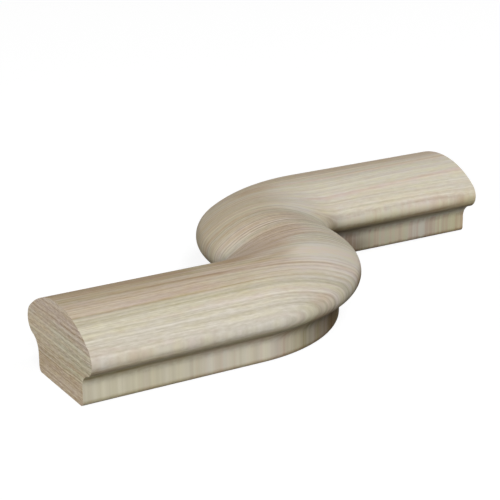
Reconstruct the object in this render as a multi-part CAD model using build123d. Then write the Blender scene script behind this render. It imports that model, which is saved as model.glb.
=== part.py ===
# S-turn handrail fitting: a short length of moulded wooden rail that steps
# sideways through two opposite bends, worked from one piece of wood.
# The rail lies level, with its flat underside on Z = 0. The origin is under the
# middle of the S, where the first bend turns into the second. The near leg comes
# in along +X, and the far leg leaves along +X, further out along +Y.
# Sizes are in millimetres and degrees.

from build123d import *
from math import atan2, cos, degrees, hypot, radians, sin
import os

# Section of the rail: a low mushroom crown over a narrower foot
rail_height = 34.0
crown_width = 57.15
widest_height = 19.2
shoulder_radius = 7.0
cove_radius = 6.5
foot_width = 39.2
foot_side_height = 7.5
foot_edge_radius = 2.0

# Run of the rail, seen from above, along the middle of the section
leg_length = 76.2
bend_radius = 44.45
bend_angle = 90.0


def on_circle(centre, radius, angle):
    """The point of a circle at an angle."""
    return (centre[0] + radius * cos(radians(angle)), centre[1] + radius * sin(radians(angle)))


def arc(centre, radius, start, end):
    """The arc of a circle from one angle to another."""
    stops = (start, (start + end) / 2, end)
    return ThreePointArc(*[on_circle(centre, radius, angle) for angle in stops])


def half_outline():
    """One side of the section, from the middle of the underside to the middle of the crown.

    The foot's upright side runs into a hollow cove. The cove turns over into the round
    lip under the crown, and the lip ends upright at the crown's widest point. Above it
    a tight shoulder runs into the wide, low top.
    """
    foot_half = foot_width / 2
    crown_half = crown_width / 2

    # The cove and the lip are tangent arcs of the same sweep, turned opposite ways
    overhang = crown_half - foot_half
    rise = widest_height - foot_side_height
    turn = 2 * degrees(atan2(overhang, rise))
    lip_radius = rise / sin(radians(turn)) - cove_radius

    # The top is one arc, tangent to the shoulder and level at the middle
    shoulder_centre = (crown_half - shoulder_radius, widest_height)
    top_rise = rail_height - widest_height
    spread = hypot(shoulder_centre[0], top_rise)
    top_radius = (spread ** 2 - shoulder_radius ** 2) / (2 * (top_rise - shoulder_radius))
    top_centre = (0, rail_height - top_radius)
    shoulder_turn = degrees(atan2(widest_height - top_centre[1], shoulder_centre[0]))

    edge_centre = (foot_half - foot_edge_radius, foot_edge_radius)
    cove_centre = (foot_half + cove_radius, foot_side_height)
    lip_centre = (crown_half - lip_radius, widest_height)
    return [
        Line((0, 0), (edge_centre[0], 0)),
        arc(edge_centre, foot_edge_radius, -90, 0),
        Line((foot_half, foot_edge_radius), (foot_half, foot_side_height)),
        arc(cove_centre, cove_radius, 180, 180 - turn),
        arc(lip_centre, lip_radius, -turn, 0),
        arc(shoulder_centre, shoulder_radius, 0, shoulder_turn),
        arc(top_centre, top_radius, shoulder_turn, 90),
    ]


def rail_section():
    """The whole section, drawn flat with its underside on the X axis."""
    side = Curve() + half_outline()
    return make_face(side + mirror(side, about=Plane.YZ))


def s_turn_fitting():
    """The far bend and leg, and the same again turned half way round the origin."""
    section = rail_section()
    ahead = Vector(1, 0, 0)
    left = Vector(0, 1, 0)

    # At the middle of the S the rail is turned off its straight course by the bend's angle
    heading = ahead.rotate(Axis.Z, bend_angle)
    middle = Plane((0, 0, 0), x_dir=left.rotate(Axis.Z, bend_angle), z_dir=heading)
    bend_centre = heading.rotate(Axis.Z, -90) * bend_radius
    bend = revolve(middle * section, Axis(bend_centre, (0, 0, -1)), bend_angle)

    # The leg starts where the bend has come back to the straight course
    leg_start = Plane(bend_centre + left * bend_radius, x_dir=left, z_dir=ahead)
    leg = extrude(leg_start * section, leg_length)
    half = bend + leg
    return half + Rot(Z=180) * half


os.makedirs("parts", exist_ok=True)
export_step(s_turn_fitting(), "parts/s_turn_fitting.step")
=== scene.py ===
# S-turn handrail fitting: one piece of pale hardwood rail on a plain white floor.
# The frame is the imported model's: metres, +Z up, the middle of the S over the origin,
# the near leg towards -X and the far leg towards +X.

import math

import bpy
from mathutils import Matrix, Vector


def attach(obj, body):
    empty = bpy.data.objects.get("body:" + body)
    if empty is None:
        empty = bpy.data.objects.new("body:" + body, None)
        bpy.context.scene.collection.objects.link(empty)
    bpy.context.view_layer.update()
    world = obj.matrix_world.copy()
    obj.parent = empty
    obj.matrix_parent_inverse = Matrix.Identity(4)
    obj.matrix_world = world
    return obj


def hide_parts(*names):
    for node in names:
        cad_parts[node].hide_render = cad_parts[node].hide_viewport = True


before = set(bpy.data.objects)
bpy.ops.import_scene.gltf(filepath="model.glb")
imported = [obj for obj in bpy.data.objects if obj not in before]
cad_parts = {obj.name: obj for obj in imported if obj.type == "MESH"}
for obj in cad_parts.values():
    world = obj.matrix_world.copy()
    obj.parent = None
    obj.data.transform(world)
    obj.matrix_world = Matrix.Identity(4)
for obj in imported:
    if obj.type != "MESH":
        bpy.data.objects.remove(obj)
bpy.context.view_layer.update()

# Section of the rail
RAIL_HEIGHT = 0.034
CROWN_WIDTH = 0.05715
WIDEST_HEIGHT = 0.0192
SHOULDER_RADIUS = 0.007
COVE_RADIUS = 0.0065
FOOT_WIDTH = 0.0392
FOOT_SIDE_HEIGHT = 0.0075
FOOT_EDGE_RADIUS = 0.002

# Run of the rail
LEG_LENGTH = 0.0762
BEND_RADIUS = 0.04445
BEND_ANGLE = math.radians(90)

# Fineness of the mesh: along the run, then along the section's arcs and straight lines
RUN_STEP = 0.001
ARC_STEP = 0.0006
LINE_STEP = 0.0024

# Wood: colours linear, and places in millimetres, but the bump's height in metres.
# A cut end begins a margin inside its face.
MILLIMETRES = 1000
END_FACE = MILLIMETRES * (LEG_LENGTH + BEND_RADIUS * math.sin(BEND_ANGLE))
END_MARGIN = 0.01
FAR_LEG = (25, 45)
RING_SPACING = 2.2
STREAK_FADE = 8.0
# How far painted shade under the crown fades below its top
SHADE_FADE = 7.5
DARKNESS = 0.40
REDNESS = 0.36
YELLOWNESS = 0.28
ROUGHNESS = 0.6
SPECULAR = 0.3
BUMP_STRENGTH = 0.12
BUMP_HEIGHT = 0.0001
GREY_WOOD = (0.75, 0.705, 0.625, 1)
PINK_WOOD = (0.78, 0.675, 0.608, 1)
GREY_GRAIN = (0.36, 0.305, 0.195, 1)
PINK_GRAIN = (0.41, 0.285, 0.205, 1)
YELLOW_CAST = (1.01, 1.0, 0.72, 1)
# The brown that painted shade multiplies the wood by
SHADE_BROWN = (0.30, 0.23, 0.13, 1)

# Bands along the rail's side, as heights: start, full from, full to, end. The cove and lip bands
# paint shade into the crease under the crown, the ledge band paints light, the lip's side band is
# grain, and the last band paints shade on the far leg.
COVE_SHADE = (8.4, 11.6, 15.0, 18.0)
COVE_SHADE_RISE = 2.2
LIP_SHADE = (14.5, 17.0, 18.5, 22.0)
LEDGE_LIGHT = (17.0, 19.0, 20.5, 23.0)
LIP_SIDE = (15.0, 18.0, 20.0, 24.5)
FAR_SHADE = (12.0, 13.5, 14.5, 20.5)

# Where the foot's upright side ends, and the painted shade along its lower edge by the floor, as
# heights: none above, full below
FOOT_TOP = (12.0, 9.0)
CONTACT_SHADE_TOP = (2.8, 1.0)

# Parts of the rail whose grain is fainter, stronger or more even: start, end, half width
CALM_BEND = ((-25, -41), (30, -38), 11)
CALM_LEG = ((10, 30), (140, 30), 26)
KEEN_BEND = ((-50, -10), (16, -8), 24)
EVEN_EDGE = ((-30, -56), (20, -50), 13)

# Streaks seen from above, most in the grain and some painted light and shade: start, end, half
# width, darker, redder, yellower
STREAKS = (
    ((-125, -45.4), (-55, -48.0), 2.6, 0.26, 0.1, 0.2),
    ((-60, -47.8), (10, -51.4), 1.4, 0.30, 0.7, 0.0),
    ((-125, -61.0), (10, -60.8), 1.4, 0.22, -0.4, 0.1),
    ((-125, -57.0), (10, -57.5), 1.1, 0.10, 0.2, 0.2),
    ((-125, -70.0), (0, -70.0), 11.0, 0.0, -0.35, -0.2),
    ((-125, -64.0), (0, -64.0), 1.3, -0.12, 0.0, 0.0),
    ((-140, -34.0), (-62, -35.0), 18.0, 0.62, 0.45, 0.4),
    ((-62, -35.0), (-35, -36.0), 14.0, 0.26, 0.0, 0.35),
    ((-140, -52.0), (-60, -53.5), 7.0, 0.20, 0.75, 0.05),
    ((-56, -52.0), (-26, -52.0), 6.0, 0.15, 0.1, 0.05),
    ((-56, -58.0), (-26, -58.5), 5.0, 0.10, 0.1, 0.05),
    ((-12, -54.0), (20, -48.0), 10.0, -0.16, 0.0, 0.0),
    ((-36, -44.5), (-14, -37.0), 4.0, 0.22, 0.3, 0.25),
    ((-140, -61.0), (-70, -62.0), 14.0, 0.06, -0.35, 0.05),
    ((-45, -56.0), (25, -48.0), 14.0, -0.16, 0.0, -0.05),
    ((-18, -42.0), (35, -36.0), 11.0, -0.48, 0.4, 0.0),
    # The next two darken the middle of the S: partly the wood's own brown, partly painted shade
    # on the flank behind the near bend
    ((-50, -36.0), (-12, -28.0), 9.0, 0.38, 1.4, 0.1),
    ((-34, -20.0), (3, -15.0), 11.0, 0.34, 1.8, 0.15),
    ((-28, -27.0), (16, -20.5), 1.6, 0.20, 0.4, 0.2),
    ((-24, -2.0), (14, 2.0), 15.0, 0.15, 0.5, 0.1),
    # Painted light on the steep left shoulder in the middle of the S
    ((-50, -7.0), (-18, -6.0), 9.0, -0.38, 0.0, 0.0),
    ((-35, 6.6), (10, 6.6), 1.2, 0.16, 0.2, 0.1),
    ((-35, 12.2), (10, 12.2), 1.5, 0.16, 0.5, 0.1),
    ((-30, 21.4), (10, 21.6), 1.1, 0.16, 0.2, 0.2),
    ((-40, 20.0), (12, 30.0), 26.0, 0.20, 0.1, 0.2),
    ((20, 24.0), (140, 27.0), 24.0, -0.18, -0.15, -0.05),
    ((30, 24.6), (125, 28.4), 1.4, 0.16, 0.8, 0.0),
    ((30, 30.5), (125, 31.5), 3.0, -0.04, -0.2, 0.0),
    ((0, 38.5), (125, 41.5), 1.6, 0.20, 0.7, 0.1),
    ((20, 38.0), (140, 38.5), 9.0, -0.14, 0.0, 0.0),
    ((4, 41.5), (24, 41.0), 6.0, 0.26, 0.6, 0.3),
    ((-20, 48.0), (140, 52.0), 9.0, 0.16, 0.6, 0.25),
    ((8, 14.0), (28, 15.0), 9.0, -0.30, 0.0, 0.0),
    ((30, 15.0), (38, 17.0), 6.0, 0.05, 0.5, 0.6),
    ((80, 16.8), (125, 16.8), 2.5, 0.0, 0.4, 0.0),
    ((-26, -69.5), (-18, -67.5), 2.5, 0.16, 1.0, 0.5),
    ((-62, -45.0), (-18, -46.0), 6.0, 0.14, 0.7, 0.1),
    ((-40, -6.0), (8, -6.0), 5.0, -0.22, 0.1, 0.0),
)

# The same on the sides of the foot only
FOOT_STREAKS = (
    ((-125, -64.0), (-40, -64.0), 4.0, -0.11, -0.2, 0.1),
    ((-32, -60.0), (-16, -56.0), 9.0, 0.18, 0.2, 0.3),
    ((66, 24.9), (92, 24.9), 4.0, -0.26, 0.0, 0.3),
    ((104, 24.9), (140, 24.9), 4.0, 0.20, 0.9, 0.4),
)

# The same on the cut ends, as places across and up
END_STREAKS = (
    ((-80, 28.0), (-10, 30.0), 9.0, -0.02, 0.6, -0.25),
    ((-80, 20.0), (-38, 20.0), 7.0, -0.02, -0.7, -0.2),
    ((-70, 3.0), (-20, 5.0), 9.0, 0.12, 0.8, 0.0),
)

# Painted shade and shadow under the crown and in the corners by the bends: start, end, half
# width, depth, top
SHADE_PATCHES = (
    ((-20, -49.0), (30, -34.0), 20.0, 0.85, 22.5),
    ((-4, -52.0), (30, -41.0), 9.0, 1.3, 24.0),
    ((-14, -60.0), (2, -54.0), 7.0, 0.2, 23.0),
    ((20, 19.0), (60, 23.0), 10.0, 0.45, 20.0),
    ((26, 17.5), (40, 18.5), 6.0, 2.0, 25.5),
    ((52, 20.0), (66, 22.0), 8.0, 0.8, 10.0),
)

# Studio, with each lamp's name, azimuth and elevation in degrees, size and power
WHITE = (1, 1, 1, 1)
FLOOR_SIZE = 6.0
FLOOR_LEVEL = -0.0001
FLOOR_GREY = (0.2, 0.2, 0.2, 1)
FLOOR_WHITENESS = 0.9
WORLD_LIGHT = 0.03
LAMP_DISTANCE = 3.0
LAMPS = (
    ("key", -20, 36, 1.1, 46),
    ("side", -60, 12, 1.1, 42),
    ("top", 45, 65, 1.1, 24),
)

# View
LOOK_AT = Vector((0.01549, 0.04795, 0.0026))
VIEW_AZIMUTH = math.radians(-30.52)
VIEW_ELEVATION = math.radians(18.908)
VIEW_ROLL = math.radians(-0.506)
VIEW_DISTANCE = 0.71054
LENS = 111.15
SENSOR = 36.0
CLIP_START = 0.01
CLIP_END = 20.0


class Tree:
    """Adds nodes to one node tree."""

    def __init__(self, tree):
        self.tree = tree
        tree.nodes.clear()

    def add(self, kind, settings=(), sockets=()):
        """A node of a type: first its settings, then the values or links of its sockets."""
        node = self.tree.nodes.new(kind)
        for name, value in dict(settings).items():
            setattr(node, name, value)
        for key, value in dict(sockets).items():
            if isinstance(value, Number):
                value = value.socket
            if isinstance(value, bpy.types.NodeSocket):
                self.tree.links.new(value, node.inputs[key])
            else:
                node.inputs[key].default_value = value
        return node

    def number(self, kind, settings=(), sockets=()):
        """A node whose first output is used in arithmetic."""
        return Number(self, self.add(kind, settings, sockets).outputs[0])

    def maths(self, operation, *values):
        """A Math node on one or more values."""
        return self.number("ShaderNodeMath", {"operation": operation}, enumerate(values))


class Number:
    """A number that differs from place to place. Arithmetic on it adds Math nodes."""

    def __init__(self, tree, socket):
        self.tree = tree
        self.socket = socket

    def __add__(self, other):
        return self.tree.maths("ADD", self, other)

    def __radd__(self, other):
        return self.tree.maths("ADD", other, self)

    def __sub__(self, other):
        return self.tree.maths("SUBTRACT", self, other)

    def __rsub__(self, other):
        return self.tree.maths("SUBTRACT", other, self)

    def __mul__(self, other):
        return self.tree.maths("MULTIPLY", self, other)

    def __rmul__(self, other):
        return self.tree.maths("MULTIPLY", other, self)

    def __truediv__(self, other):
        return self.tree.maths("DIVIDE", self, other)

    def __rtruediv__(self, other):
        return self.tree.maths("DIVIDE", other, self)

    def __abs__(self):
        return self.tree.maths("ABSOLUTE", self)


def arc(centre, radius, start, end):
    """Points along an arc between two angles, without its first point."""
    steps = max(2, math.ceil(abs(end - start) * radius / ARC_STEP))
    angles = [start + (end - start) * step / steps for step in range(1, steps + 1)]
    return [(centre[0] + radius * math.cos(a), centre[1] + radius * math.sin(a)) for a in angles]


def line(start, end):
    """Points along a straight stretch, without its first point."""
    steps = max(1, math.ceil(math.dist(start, end) / LINE_STEP))
    shares = [step / steps for step in range(1, steps + 1)]
    return [tuple(a + (b - a) * share for a, b in zip(start, end)) for share in shares]


def half_section():
    """One side of the section, from the middle of the underside to the middle of the crown."""
    foot_half = FOOT_WIDTH / 2
    crown_half = CROWN_WIDTH / 2
    rise = WIDEST_HEIGHT - FOOT_SIDE_HEIGHT
    turn = 2 * math.atan2(crown_half - foot_half, rise)
    lip_radius = rise / math.sin(turn) - COVE_RADIUS

    shoulder_out = crown_half - SHOULDER_RADIUS
    top_rise = RAIL_HEIGHT - WIDEST_HEIGHT
    spread = math.hypot(shoulder_out, top_rise)
    top_radius = (spread ** 2 - SHOULDER_RADIUS ** 2) / (2 * (top_rise - SHOULDER_RADIUS))
    top_centre = RAIL_HEIGHT - top_radius
    shoulder_turn = math.atan2(WIDEST_HEIGHT - top_centre, shoulder_out)

    quarter = math.pi / 2
    edge_out = foot_half - FOOT_EDGE_RADIUS
    return [
        *line((0, 0), (edge_out, 0)),
        *arc((edge_out, FOOT_EDGE_RADIUS), FOOT_EDGE_RADIUS, -quarter, 0),
        *line((foot_half, FOOT_EDGE_RADIUS), (foot_half, FOOT_SIDE_HEIGHT)),
        *arc((foot_half + COVE_RADIUS, FOOT_SIDE_HEIGHT), COVE_RADIUS, math.pi, math.pi - turn),
        *arc((crown_half - lip_radius, WIDEST_HEIGHT), lip_radius, -turn, 0),
        *arc((shoulder_out, WIDEST_HEIGHT), SHOULDER_RADIUS, 0, shoulder_turn),
        *arc((0, top_centre), top_radius, shoulder_turn, quarter),
    ]


def section_outline():
    """The whole section as a closed curve, drawn upside down, as the sweep takes it."""
    right = half_section()
    left = [(-out, up) for out, up in reversed(right[:-1])]
    points = [*right, *left, (0.0, 0.0)]
    curve = bpy.data.curves.new("rail_section", "CURVE")
    curve.dimensions = "2D"
    spline = curve.splines.new("POLY")
    spline.points.add(len(points) - 1)
    for point, (out, up) in zip(spline.points, points):
        point.co = (-out, -up, 0, 1)
    spline.use_cyclic_u = True
    outline = bpy.data.objects.new("rail_section", curve)
    bpy.context.scene.collection.objects.link(outline)
    return outline


def sweep_tree():
    """A node tree that carries a section through leg, bend, bend and leg."""
    group = bpy.data.node_groups.new("rail_sweep", "GeometryNodeTree")
    inputs = {
        "Section": "NodeSocketObject",
        "Leg length": "NodeSocketFloat",
        "Bend radius": "NodeSocketFloat",
        "Bend angle": "NodeSocketFloat",
        "Stations": "NodeSocketInt",
        "Material": "NodeSocketMaterial",
    }
    for name, kind in inputs.items():
        group.interface.new_socket(name, in_out="INPUT", socket_type=kind)
    group.interface.new_socket("Rail", in_out="OUTPUT", socket_type="NodeSocketGeometry")
    tree = Tree(group)
    given = tree.add("NodeGroupInput").outputs
    radius = Number(tree, given["Bend radius"])
    angle = Number(tree, given["Bend angle"])
    stations = Number(tree, given["Stations"])

    # Each station's signed distance from the middle of the S, along the run
    half_run = Number(tree, given["Leg length"]) + radius * angle
    place = tree.number("GeometryNodeInputIndex") / (stations - 1) * 2 - 1
    side = tree.maths("SIGN", place)
    gone = abs(place) * half_run

    # The bend turns first, and the leg runs straight on from it
    turned = tree.maths("MINIMUM", gone / radius, angle)
    straight = tree.maths("MAXIMUM", gone - radius * angle, 0.0)
    heading = angle - turned
    along = radius * (tree.maths("SINE", angle) - tree.maths("SINE", heading)) + straight
    across = radius * (tree.maths("COSINE", heading) - tree.maths("COSINE", angle))
    spot = tree.add("ShaderNodeCombineXYZ", sockets={"X": side * along, "Y": side * across})

    # A line of stations is moved onto the run, and the section is swept along it
    straight_line = tree.add("GeometryNodeMeshLine", sockets={"Count": stations})
    path = tree.add("GeometryNodeMeshToCurve", sockets={"Mesh": straight_line.outputs[0]})
    placed = tree.add(
        "GeometryNodeSetPosition",
        sockets={"Geometry": path.outputs[0], "Position": spot.outputs[0]},
    )
    level = tree.add("GeometryNodeSetCurveNormal", {"mode": "Z_UP"}, {"Curve": placed.outputs[0]})
    section = tree.add("GeometryNodeObjectInfo", sockets={"Object": given["Section"]})
    swept = tree.add(
        "GeometryNodeCurveToMesh",
        sockets={
            "Curve": level.outputs[0],
            "Profile Curve": section.outputs["Geometry"],
            "Fill Caps": True,
        },
    )
    real = tree.add("GeometryNodeRealizeInstances", sockets={"Geometry": swept.outputs[0]})
    painted = tree.add(
        "GeometryNodeSetMaterial",
        sockets={"Geometry": real.outputs[0], "Material": given["Material"]},
    )
    tree.add("NodeGroupOutput", sockets={"Rail": painted.outputs[0]})
    return group


def rail(material):
    """The swept rail as a plain mesh, smooth along its run and sharp at its cut ends."""
    group = sweep_tree()
    outline = section_outline()
    maker = bpy.data.objects.new("rail_maker", bpy.data.meshes.new("rail_maker"))
    bpy.context.scene.collection.objects.link(maker)
    sweep = maker.modifiers.new("sweep", "NODES")
    sweep.node_group = group
    run = 2 * (LEG_LENGTH + BEND_RADIUS * BEND_ANGLE)
    values = {
        "Section": outline,
        "Leg length": LEG_LENGTH,
        "Bend radius": BEND_RADIUS,
        "Bend angle": BEND_ANGLE,
        "Stations": math.ceil(run / RUN_STEP) + 1,
        "Material": material,
    }
    for item in group.interface.items_tree:
        if item.name in values:
            sweep[item.identifier] = values[item.name]
    depsgraph = bpy.context.evaluated_depsgraph_get()
    mesh = bpy.data.meshes.new_from_object(maker.evaluated_get(depsgraph))
    mesh.name = "s_turn_rail"
    piece = bpy.data.objects.new("s_turn_rail", mesh)
    bpy.context.scene.collection.objects.link(piece)
    bpy.data.objects.remove(maker)
    bpy.data.objects.remove(outline)
    return piece


def noise(tree, along, across, shift, detail=2.0, roughness=0.5):
    """Smooth random values around 0, from about -0.5 to 0.5, over two directions."""
    spot = tree.add("ShaderNodeCombineXYZ", sockets={"X": along + shift, "Y": across + shift})
    sockets = {"Vector": spot.outputs[0], "Scale": 1.0, "Detail": detail, "Roughness": roughness}
    return tree.number("ShaderNodeTexNoise", {"noise_dimensions": "2D"}, sockets) - 0.5


def limited(value):
    """A value kept from 0 to 1."""
    return value.tree.number("ShaderNodeClamp", sockets={"Value": value, "Min": 0.0, "Max": 1.0})


def ramped(value, low, high):
    """From 0 to 1, smoothly, while a value goes from low to high."""
    sockets = {"Value": value, "From Min": low, "From Max": high}
    return value.tree.number("ShaderNodeMapRange", {"interpolation_type": "SMOOTHSTEP"}, sockets)


def band(value, start, full_from, full_to, end):
    """1 over a stretch of values, falling to 0 on both sides of it."""
    return ramped(value, start, full_from) * ramped(value, end, full_to)


def streak(x, across, start, end, half_width):
    """1 along a line of grain between two places, falling to 0 beside it and past its ends."""
    slope = (end[1] - start[1]) / (end[0] - start[0])
    centre = start[1] + (x - start[0]) * slope
    beside = ramped(abs(across - centre), half_width, 0.0)
    after_start = ramped(x, start[0] - STREAK_FADE, start[0] + STREAK_FADE)
    before_end = ramped(x, end[0] + STREAK_FADE, end[0] - STREAK_FADE)
    return beside * after_start * before_end


def blend(tree, share, first, second, way="MIX"):
    """A colour part of the way from the first to the second, or to the two multiplied."""
    settings = {"data_type": "RGBA", "blend_type": way}
    sockets = {"Factor": share, "A": first, "B": second}
    return tree.add("ShaderNodeMix", settings, sockets).outputs["Result"]


def grain(tree, x, y, z, cut, far):
    """How dark, how red and how yellow the wood is from its grain, with some painted light and
    shade among its streaks, then its lines and pores.

    The grain is laid out in millimetres over the board the rail is worked from, seen
    from above, so that its lines run straight through the bends. A cut end shows the
    board's layers on edge.
    """
    side = 1 - cut
    along = x + cut * (y - x)
    level = y + cut * (z - y)

    # The layers drift a little to one side and back along the board
    drift = noise(tree, along / 130, level / 34, 3.7) * 5
    wave = noise(tree, along / 9, level / 7, 17.9) * cut * 0.7
    across = level + drift + wave

    # Growth rings: narrow dark and light pairs, strong in some parts and faint in others
    ring_phase = across / RING_SPACING + noise(tree, along / 90, across / 9, 8.1) * 1.6
    ring = tree.maths("SINE", ring_phase * math.tau)
    ring_strength = ramped(noise(tree, along / 140, across / 12, 21.3), -0.1, 0.25)

    # Patterns drawn out along the grain, fine and wide, for darkness and for colour
    lines = noise(tree, along / 140, across / 1.0, 5.2, 3.0, 0.6)
    bands = noise(tree, along / 170, across / 6.5, 11.9)
    tint = noise(tree, along / 120, across / 5, 31.4)
    cast = noise(tree, along / 45, across / 2.6, 41.7)

    # Short ones: pores, patches, yellow spots, and bars that only upright sides show
    pores = noise(tree, along / 3.2, across / 0.4, 2.6, 2.0, 0.6)
    patches = noise(tree, along / 7, across / 0.9, 14.4, 1.0)
    spots = noise(tree, along / 6, across / 2.2, 53.1, 1.0)
    bars = noise(tree, along / 2.0, across / 3, 61.3)

    # Where the grain is faint, where it is strong, and where even rings stand for its lines
    calm = streak(x, y, *CALM_BEND) + streak(x, y, *CALM_LEG) * 0.6
    keen = streak(x, y, *KEEN_BEND)
    even = streak(x, y, *EVEN_EDGE) * side

    # The foot's upright side shows the bars in full, and the lip's shows them faintly
    foot = ramped(z, *FOOT_TOP) * side
    upright = foot + band(z, *LIP_SIDE) * side * 0.35

    dark = ring * (ring_strength + even * 0.35) * 0.12 + lines * (1.1 - even * 0.5)
    dark = dark + bands * (0.4 - even * 0.2) + pores * (0.5 + cut * 0.4)
    dark = dark * (1 + (keen * 1.2 - calm * 0.6) * side) + patches * 0.2
    dark = dark + bars * upright * (0.3 + far)
    red = tint * (1.6 + cut) + patches * 0.9 + bars * upright * (2 + far * 4) + cut * 0.35
    yellow = cast * (0.8 - cut * 0.3) + spots * 0.6 + cut * 0.3

    # The single streaks lie over the random patterns, and follow the drift a little
    streaks = [(x, y + drift * 0.15, side, one) for one in STREAKS]
    streaks += [(x, y, foot, one) for one in FOOT_STREAKS]
    streaks += [(y, z, cut, one) for one in END_STREAKS]
    for ahead, beside, where, (start, end, half_width, darker, redder, yellower) in streaks:
        share = streak(ahead, beside, start, end, half_width) * where
        dark = dark + share * darker
        red = red + share * redder
        yellow = yellow + share * yellower
    dark = dark * (1 + cut * 0.6) + cut * 0.02
    return dark + DARKNESS, red + REDNESS, yellow + YELLOWNESS, lines, pores


def painted_shade(x, y, z, far):
    """How deeply shade and shadow are painted into the wood under the crown."""
    depth = band(z, *FAR_SHADE) * far * 0.3
    for start, end, half_width, deepest, top in SHADE_PATCHES:
        below = ramped(z, top, top - SHADE_FADE)
        depth = depth + streak(x, y, start, end, half_width) * below * deepest
    return depth


def wood():
    """Pale open-grained hardwood, sanded smooth, with its grain running along X, and shade and
    light painted into its colour under the crown and along the foot.
    """
    material = bpy.data.materials.new("pale_hardwood")
    material.use_nodes = True
    tree = Tree(material.node_tree)
    place = tree.add("ShaderNodeTexCoord").outputs["Object"]
    parts = tree.add("ShaderNodeSeparateXYZ", sockets={"Vector": place}).outputs
    x, y, z = [Number(tree, part) * MILLIMETRES for part in parts]

    cut = tree.maths("GREATER_THAN", abs(x), END_FACE - END_MARGIN)
    side = 1 - cut
    far = ramped(x, *FAR_LEG)
    dark, red, yellow, lines, pores = grain(tree, x, y, z, cut, far)

    # Painted shade: the cove and the foot's lower edge by the floor are darkened and warmed, and
    # the lip's underside is tinted warmer, where shade falls. Painted light: the ledge at the
    # crown's widest point is a little paler. The cove's band starts higher on the far leg.
    cove_start, cove_full, cove_fade, cove_end = COVE_SHADE
    rise = far * COVE_SHADE_RISE
    cove_shade = band(z, rise + cove_start, rise + cove_full, cove_fade, cove_end) * side
    lip_shade = band(z, *LIP_SHADE) * side
    ledge_light = band(z, *LEDGE_LIGHT) * side
    contact_shade = ramped(z, *CONTACT_SHADE_TOP) * side

    darkness = limited(dark + cove_shade * 0.4 + contact_shade * 0.5 - ledge_light * 0.15)
    redness = limited(red + cove_shade * 0.3 + contact_shade * 0.4)
    yellowness = limited(yellow + cove_shade * 0.4 + lip_shade * (0.15 + far * 0.3) + contact_shade * 0.2)
    # Painted shade and shadow, multiplied into the colour as a brown
    shade_share = limited(painted_shade(x, y, z, far) * side)
    light = blend(tree, redness, GREY_WOOD, PINK_WOOD)
    deep = blend(tree, redness, GREY_GRAIN, PINK_GRAIN)
    plain = blend(tree, darkness, light, deep)
    yellowed = blend(tree, yellowness, plain, YELLOW_CAST, "MULTIPLY")
    colour = blend(tree, shade_share, yellowed, SHADE_BROWN, "MULTIPLY")

    bump = tree.add(
        "ShaderNodeBump",
        sockets={
            "Strength": BUMP_STRENGTH,
            "Distance": BUMP_HEIGHT,
            "Height": lines + pores * 0.6,
        },
    )
    shader = tree.add(
        "ShaderNodeBsdfPrincipled",
        sockets={
            "Base Color": colour,
            "Roughness": ROUGHNESS + lines * 0.2,
            "Specular IOR Level": SPECULAR,
            "Normal": bump.outputs[0],
        },
    )
    tree.add("ShaderNodeOutputMaterial", sockets={"Surface": shader.outputs[0]})
    return material


def floor():
    """A plain pale floor that keeps the object's shadow and shows white to the camera."""
    material = bpy.data.materials.new("white_floor")
    material.use_nodes = True
    tree = Tree(material.node_tree)
    path = tree.add("ShaderNodeLightPath").outputs
    whiteness = Number(tree, path["Is Camera Ray"]) * FLOOR_WHITENESS
    matt = tree.add("ShaderNodeBsdfDiffuse", sockets={"Color": FLOOR_GREY})
    white = tree.add("ShaderNodeEmission", sockets={"Color": WHITE, "Strength": whiteness})
    both = tree.add("ShaderNodeAddShader", sockets={0: matt.outputs[0], 1: white.outputs[0]})
    tree.add("ShaderNodeOutputMaterial", sockets={"Surface": both.outputs[0]})

    half = FLOOR_SIZE / 2
    corners = [(x * half, y * half, FLOOR_LEVEL) for x, y in ((-1, -1), (1, -1), (1, 1), (-1, 1))]
    mesh = bpy.data.meshes.new("floor")
    mesh.from_pydata(corners, [], [(0, 1, 2, 3)])
    mesh.materials.append(material)
    plane = bpy.data.objects.new("floor", mesh)
    bpy.context.scene.collection.objects.link(plane)


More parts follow.
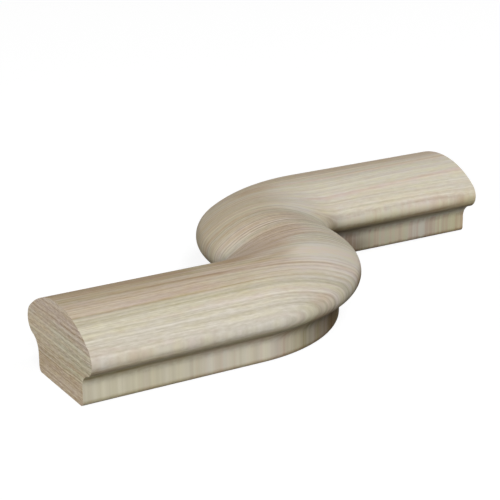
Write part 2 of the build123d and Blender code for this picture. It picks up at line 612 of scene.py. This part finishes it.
def white_world():
    """Dim, even light from all round, which the camera and reflections see as white."""
    world = bpy.data.worlds.new("white_world")
    bpy.context.scene.world = world
    world.use_nodes = True
    tree = Tree(world.node_tree)
    path = tree.add("ShaderNodeLightPath").outputs
    seen = tree.maths("MAXIMUM", path["Is Camera Ray"], path["Is Glossy Ray"])
    seen = tree.maths("MAXIMUM", seen, path["Is Transmission Ray"])
    light = tree.add("ShaderNodeBackground", sockets={"Color": WHITE, "Strength": WORLD_LIGHT})
    white = tree.add("ShaderNodeBackground", sockets={"Color": WHITE, "Strength": 1.0})
    shaders = {0: seen, 1: light.outputs[0], 2: white.outputs[0]}
    mixed = tree.add("ShaderNodeMixShader", sockets=shaders)
    tree.add("ShaderNodeOutputWorld", sockets={"Surface": mixed.outputs[0]})


def from_side(azimuth, elevation):
    """The direction towards a lamp or camera, with azimuth 0 in front, at -Y."""
    return Vector((
        math.sin(azimuth) * math.cos(elevation),
        -math.cos(azimuth) * math.cos(elevation),
        math.sin(elevation),
    ))


def lamp(name, azimuth, elevation, size, power):
    """A square soft box that faces the object."""
    data = bpy.data.lights.new(name, "AREA")
    data.shape = "SQUARE"
    data.size = size
    data.energy = power
    box = bpy.data.objects.new(name, data)
    back = from_side(math.radians(azimuth), math.radians(elevation))
    turn = back.to_track_quat("Z", "Y").to_matrix().to_4x4()
    box.matrix_world = Matrix.Translation(back * LAMP_DISTANCE) @ turn
    bpy.context.scene.collection.objects.link(box)


def camera():
    """The photograph's view."""
    back = from_side(VIEW_AZIMUTH, VIEW_ELEVATION)
    turn = (-back).to_track_quat("-Z", "Y").to_matrix() @ Matrix.Rotation(VIEW_ROLL, 3, "Z")
    data = bpy.data.cameras.new("camera")
    data.lens = LENS
    data.sensor_width = SENSOR
    data.clip_start = CLIP_START
    data.clip_end = CLIP_END
    view = bpy.data.objects.new("camera", data)
    view.matrix_world = Matrix.Translation(LOOK_AT + back * VIEW_DISTANCE) @ turn.to_4x4()
    bpy.context.scene.collection.objects.link(view)
    bpy.context.scene.camera = view


piece = rail(wood())
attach(piece, "root")
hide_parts("s_turn_fitting")
camera()
floor()
white_world()
for values in LAMPS:
    lamp(*values)

bpy.context.scene.view_settings.view_transform = "Standard"
